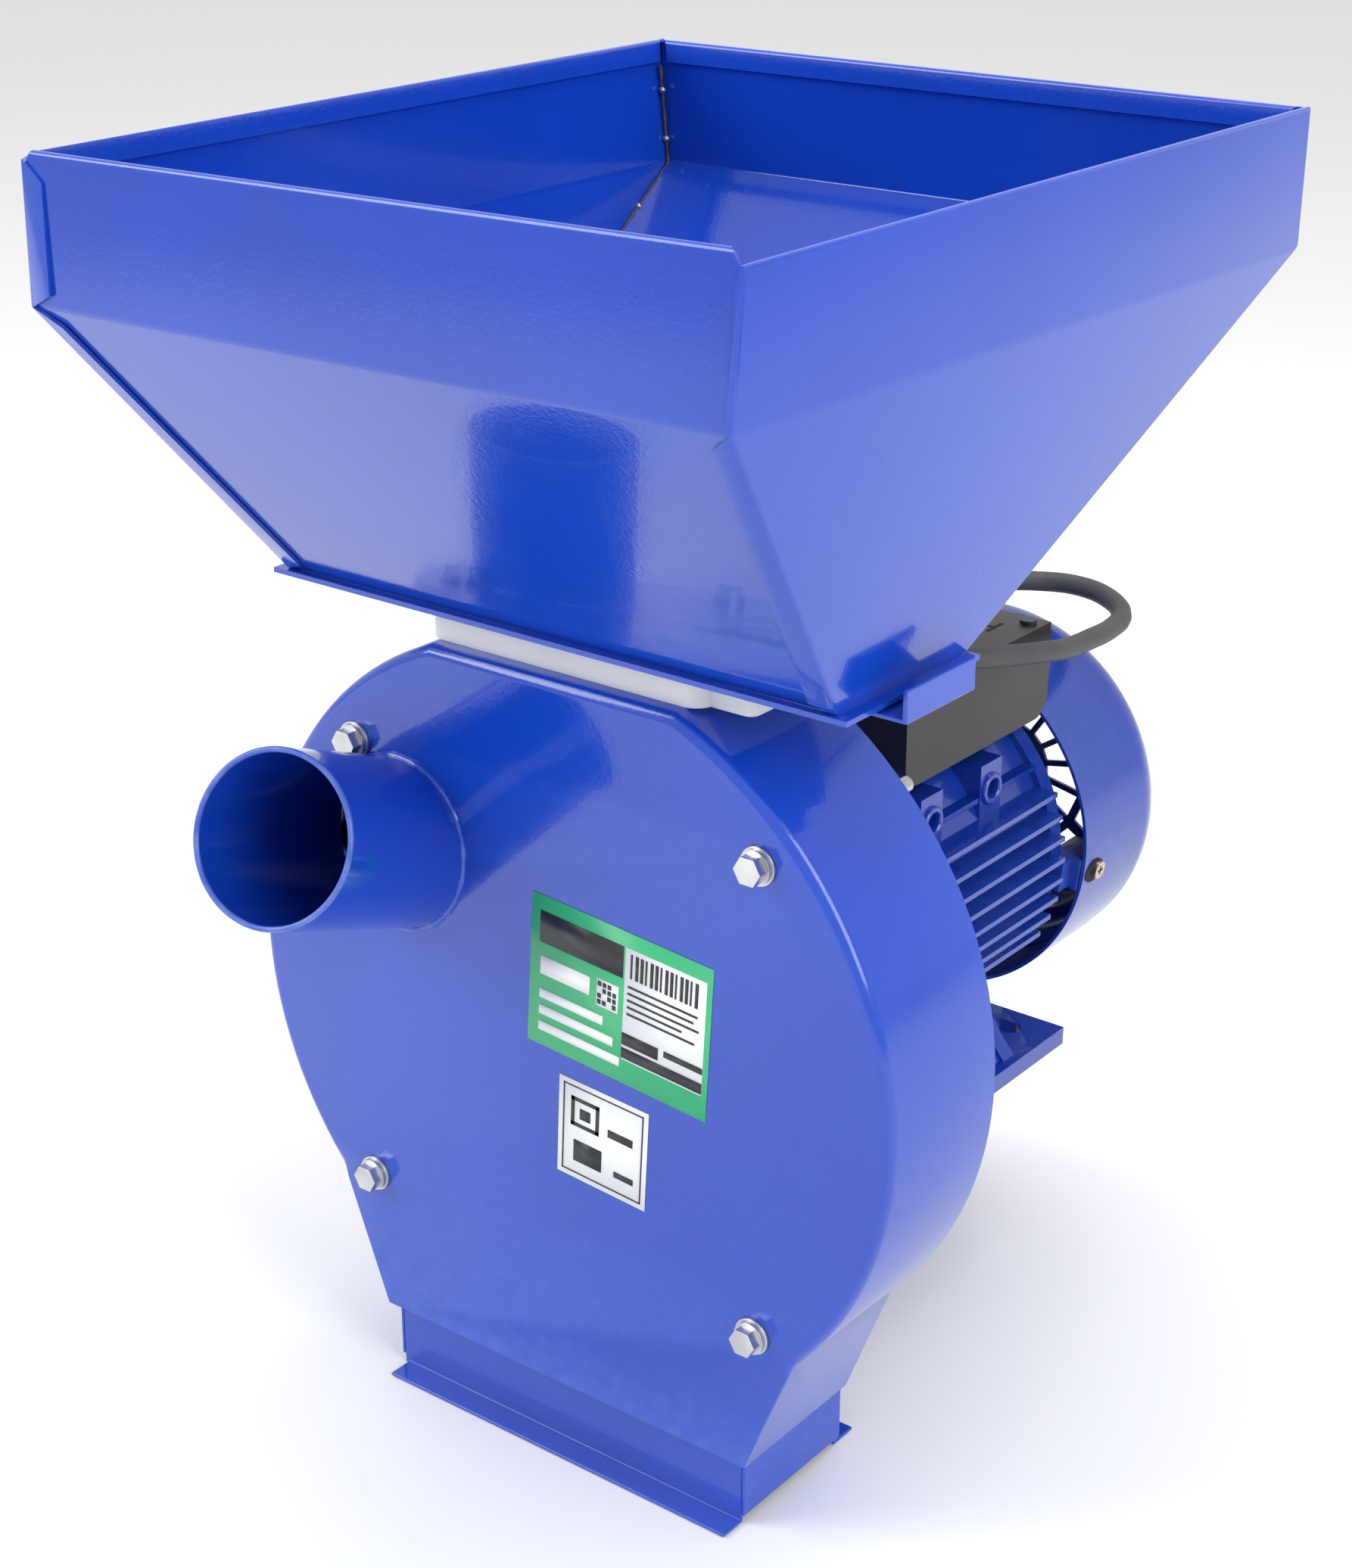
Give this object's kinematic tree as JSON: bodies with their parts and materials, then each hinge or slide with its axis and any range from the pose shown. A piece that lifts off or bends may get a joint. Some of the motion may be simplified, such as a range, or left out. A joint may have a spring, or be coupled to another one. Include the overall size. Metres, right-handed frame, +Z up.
{
  "type": "hammer mill",
  "caption": "Electric grain hammer mill: a wide hopper over a flat round steel housing with swinging hammers and a screen, driven by a foot-mounted motor with a switch box.",
  "frame": {"origin": "centre of the four foot slots, on the underside of the motor's feet", "axes": "+Z up, +Y from the mill's front cover back along the shaft, +X to the side where the feed slide pulls out"},
  "size_m": [0.306, 0.428, 0.5115],
  "materials": {
    "blue_paint": "glossy royal-blue powder coat",
    "motor_paint": "glossy royal-blue enamel on steel sheet",
    "cast_paint": "glossy royal-blue enamel on cast aluminium",
    "zinc": "bright zinc plating",
    "yellow_zinc": "yellow passivated zinc",
    "white_plastic": "white moulded plastic",
    "bare_steel": "machined bare steel",
    "screen_steel": "punched galvanised sheet",
    "hard_steel": "hardened strip steel with a dark scale",
    "laminations": "stacked electrical steel",
    "copper": "varnished copper wire",
    "black_plastic": "black moulded plastic with a fine grain",
    "cap_plastic": "plastic capacitor can",
    "red_plastic": "red moulded plastic",
    "lead_rubber": "dark grey rubber sheath",
    "plug_plastic": "moulded black plug"
  },
  "bodies": {
    "mill": {"hopper_front": "blue_paint", "hopper_back": "blue_paint", "hopper_left": "blue_paint", "hopper_right": "blue_paint", "hopper_base": "blue_paint", "feed_throat": "white_plastic", "hopper_screws": "zinc", "front_cover": "blue_paint", "feed_pipe": "blue_paint", "back_plate": "blue_paint", "cover_bolts": "zinc", "cover_washers": "zinc", "cover_nuts": "zinc", "cover_spacers": "bare_steel", "chute_front": "blue_paint", "chute_back": "blue_paint", "chute_sides": "blue_paint", "screen": "screen_steel", "screen_rails": "bare_steel", "front_bearing": "bare_steel", "rear_bearing": "bare_steel", "motor_frame": "cast_paint", "front_shield": "cast_paint", "rear_shield": "cast_paint", "motor_feet": "cast_paint", "stator_core": "laminations", "stator_windings": "copper", "fan_cover": "motor_paint", "fan_cover_screws": "yellow_zinc", "flange_screws": "zinc", "box_base": "black_plastic", "box_lid": "black_plastic", "lid_screws": "zinc", "capacitors": "cap_plastic", "switch_body": "black_plastic", "strain_relief": "lead_rubber", "mains_cord": "lead_rubber", "cord_coil": "lead_rubber", "cord_tie": "black_plastic", "plug": "plug_plastic"},
    "slide": {"feed_slide": "blue_paint"},
    "rotor": {"rotor_hub": "bare_steel", "rotor_discs": "bare_steel", "hammer_pins": "bare_steel", "pin_spacers": "bare_steel", "hub_bolt": "bare_steel", "shaft_key": "bare_steel", "motor_shaft": "bare_steel", "rotor_core": "laminations", "cooling_fan": "black_plastic"},
    "hammer_1": {"hammer_1": "hard_steel"},
    "hammer_2": {"hammer_2": "hard_steel"},
    "hammer_3": {"hammer_3": "hard_steel"},
    "hammer_4": {"hammer_4": "hard_steel"},
    "hammer_5": {"hammer_5": "hard_steel"},
    "hammer_6": {"hammer_6": "hard_steel"},
    "hammer_7": {"hammer_7": "hard_steel"},
    "hammer_8": {"hammer_8": "hard_steel"},
    "rocker": {"switch_rocker": "red_plastic"},
    "reset": {"reset_button": "black_plastic"}
  },
  "joints": [
    {"name": "feed_slide_pull", "type": "slide", "parent": "mill", "child": "slide", "axis": [1, 0, 0], "range_m": [0, 0.095]},
    {"name": "rotor_spin", "type": "hinge", "parent": "mill", "child": "rotor", "pos_m": [0, -0.143, 0.084], "axis": [0, 1, 0], "continuous": true},
    {"name": "hammer_1_swing", "type": "hinge", "parent": "rotor", "child": "hammer_1", "pos_m": [0.05091, -0.1527, 0.13491], "axis": [0, 1, 0], "continuous": true},
    {"name": "hammer_2_swing", "type": "hinge", "parent": "rotor", "child": "hammer_2", "pos_m": [0.05091, -0.1373, 0.13491], "axis": [0, 1, 0], "continuous": true},
    {"name": "hammer_3_swing", "type": "hinge", "parent": "rotor", "child": "hammer_3", "pos_m": [-0.05091, -0.1527, 0.13491], "axis": [0, 1, 0], "continuous": true},
    {"name": "hammer_4_swing", "type": "hinge", "parent": "rotor", "child": "hammer_4", "pos_m": [-0.05091, -0.1373, 0.13491], "axis": [0, 1, 0], "continuous": true},
    {"name": "hammer_5_swing", "type": "hinge", "parent": "rotor", "child": "hammer_5", "pos_m": [-0.05091, -0.1527, 0.03309], "axis": [0, 1, 0], "continuous": true},
    {"name": "hammer_6_swing", "type": "hinge", "parent": "rotor", "child": "hammer_6", "pos_m": [-0.05091, -0.1373, 0.03309], "axis": [0, 1, 0], "continuous": true},
    {"name": "hammer_7_swing", "type": "hinge", "parent": "rotor", "child": "hammer_7", "pos_m": [0.05091, -0.1527, 0.03309], "axis": [0, 1, 0], "continuous": true},
    {"name": "hammer_8_swing", "type": "hinge", "parent": "rotor", "child": "hammer_8", "pos_m": [0.05091, -0.1373, 0.03309], "axis": [0, 1, 0], "continuous": true},
    {"name": "switch_rock", "type": "hinge", "parent": "mill", "child": "rocker", "pos_m": [-0.0575, 0.009, 0.16], "axis": [0, 0, 1], "range_deg": [0, 16]},
    {"name": "reset_press", "type": "slide", "parent": "mill", "child": "reset", "axis": [1, 0, 0], "range_m": [0, 0.003], "stiffness_N_per_m": 200}
  ]
}
